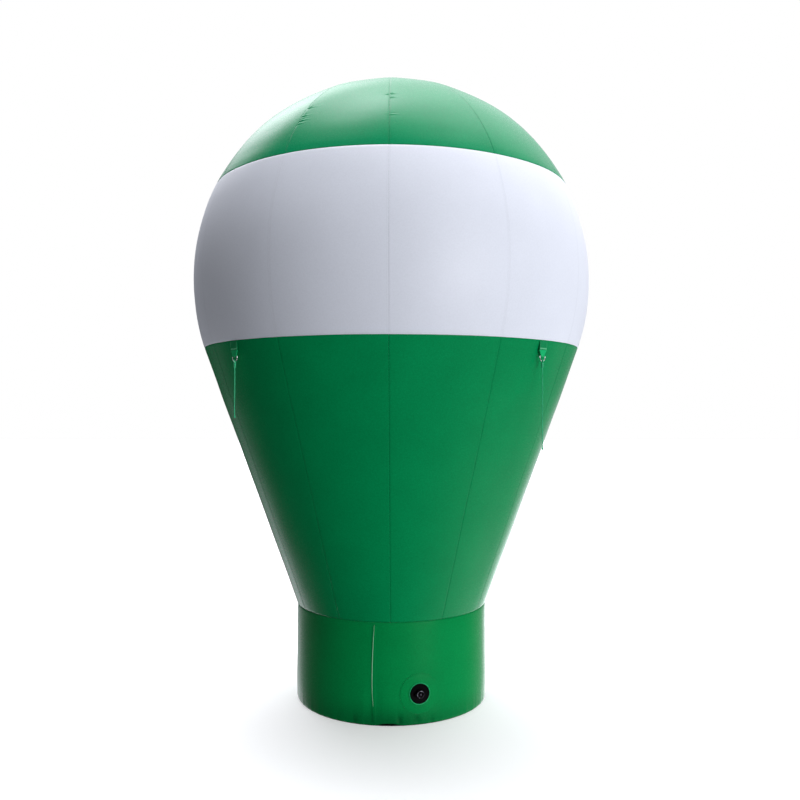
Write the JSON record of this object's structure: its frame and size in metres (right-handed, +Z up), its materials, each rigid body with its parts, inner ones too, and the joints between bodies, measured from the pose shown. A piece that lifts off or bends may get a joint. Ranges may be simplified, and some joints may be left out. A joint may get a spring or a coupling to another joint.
{
  "type": "bulb-shaped advertising balloon",
  "caption": "Upright bulb-shaped inflatable balloon with a domed crown, a plain white band, a tapering cone, a round base with a valve, and anchor rings with short lines.",
  "frame": {"origin": "centre of the base's underside, on the floor", "axes": "+Z up along the balloon's axis; -Y is the front, the side of the valve"},
  "size_m": [2.254, 2.254, 3.5],
  "materials": {
    "green_fabric": "coated, satin",
    "white_fabric": "coated, satin",
    "green_webbing": "woven webbing",
    "green_line": "braided line",
    "ring_steel": "polished, zinc plated",
    "valve_black": "moulded, satin",
    "floor_sheet": "coated, matt"
  },
  "bodies": {
    "envelope": {"crown_gore_01": "green_fabric", "crown_gore_02": "green_fabric", "crown_gore_03": "green_fabric", "crown_gore_04": "green_fabric", "crown_gore_05": "green_fabric", "crown_gore_06": "green_fabric", "crown_gore_07": "green_fabric", "crown_gore_08": "green_fabric", "crown_gore_09": "green_fabric", "crown_gore_10": "green_fabric", "crown_gore_11": "green_fabric", "crown_gore_12": "green_fabric", "band_panel_01": "white_fabric", "band_panel_02": "white_fabric", "band_panel_03": "white_fabric", "band_panel_04": "white_fabric", "band_panel_05": "white_fabric", "band_panel_06": "white_fabric", "band_panel_07": "white_fabric", "band_panel_08": "white_fabric", "band_panel_09": "white_fabric", "band_panel_10": "white_fabric", "band_panel_11": "white_fabric", "band_panel_12": "white_fabric", "cone_gore_01": "green_fabric", "cone_gore_02": "green_fabric", "cone_gore_03": "green_fabric", "cone_gore_04": "green_fabric", "cone_gore_05": "green_fabric", "cone_gore_06": "green_fabric", "cone_gore_07": "green_fabric", "cone_gore_08": "green_fabric", "cone_gore_09": "green_fabric", "cone_gore_10": "green_fabric", "cone_gore_11": "green_fabric", "cone_gore_12": "green_fabric", "crown_cap": "green_fabric", "base_wall": "green_fabric", "base_lap_seam": "green_fabric", "floor_sheet": "floor_sheet", "valve_patch": "green_fabric", "valve_body": "valve_black", "strap_front_right": "green_webbing", "strap_rear_right": "green_webbing", "strap_rear_left": "green_webbing", "strap_front_left": "green_webbing"},
    "cap": {"valve_cap": "valve_black"},
    "anchor_front_right": {"ring_front_right": "ring_steel", "knot_front_right": "green_line", "line_front_right": "green_line"},
    "anchor_rear_right": {"ring_rear_right": "ring_steel", "knot_rear_right": "green_line", "line_rear_right": "green_line"},
    "anchor_rear_left": {"ring_rear_left": "ring_steel", "knot_rear_left": "green_line", "line_rear_left": "green_line"},
    "anchor_front_left": {"ring_front_left": "ring_steel", "knot_front_left": "green_line", "line_front_left": "green_line"}
  },
  "joints": [
    {"name": "cap_hinge", "type": "hinge", "parent": "envelope", "child": "cap", "pos_m": [0.1311, -0.54106, 0.162], "axis": [0, 0, -1], "range_deg": [0, 150]},
    {"name": "ring_swing_front_right", "type": "hinge", "parent": "envelope", "child": "anchor_front_right", "pos_m": [0.75562, -0.73481, 1.9], "axis": [-0.6972, -0.7169, 0], "range_deg": [-20, 60]},
    {"name": "ring_swing_rear_right", "type": "hinge", "parent": "envelope", "child": "anchor_rear_right", "pos_m": [0.74529, 0.74529, 1.9], "axis": [0.7071, -0.7071, 0], "range_deg": [-20, 60]},
    {"name": "ring_swing_rear_left", "type": "hinge", "parent": "envelope", "child": "anchor_rear_left", "pos_m": [-0.74529, 0.74529, 1.9], "axis": [0.7071, 0.7071, 0], "range_deg": [-20, 60]},
    {"name": "ring_swing_front_left", "type": "hinge", "parent": "envelope", "child": "anchor_front_left", "pos_m": [-0.77085, -0.71883, 1.9], "axis": [-0.682, 0.7314, 0], "range_deg": [-20, 60]}
  ]
}
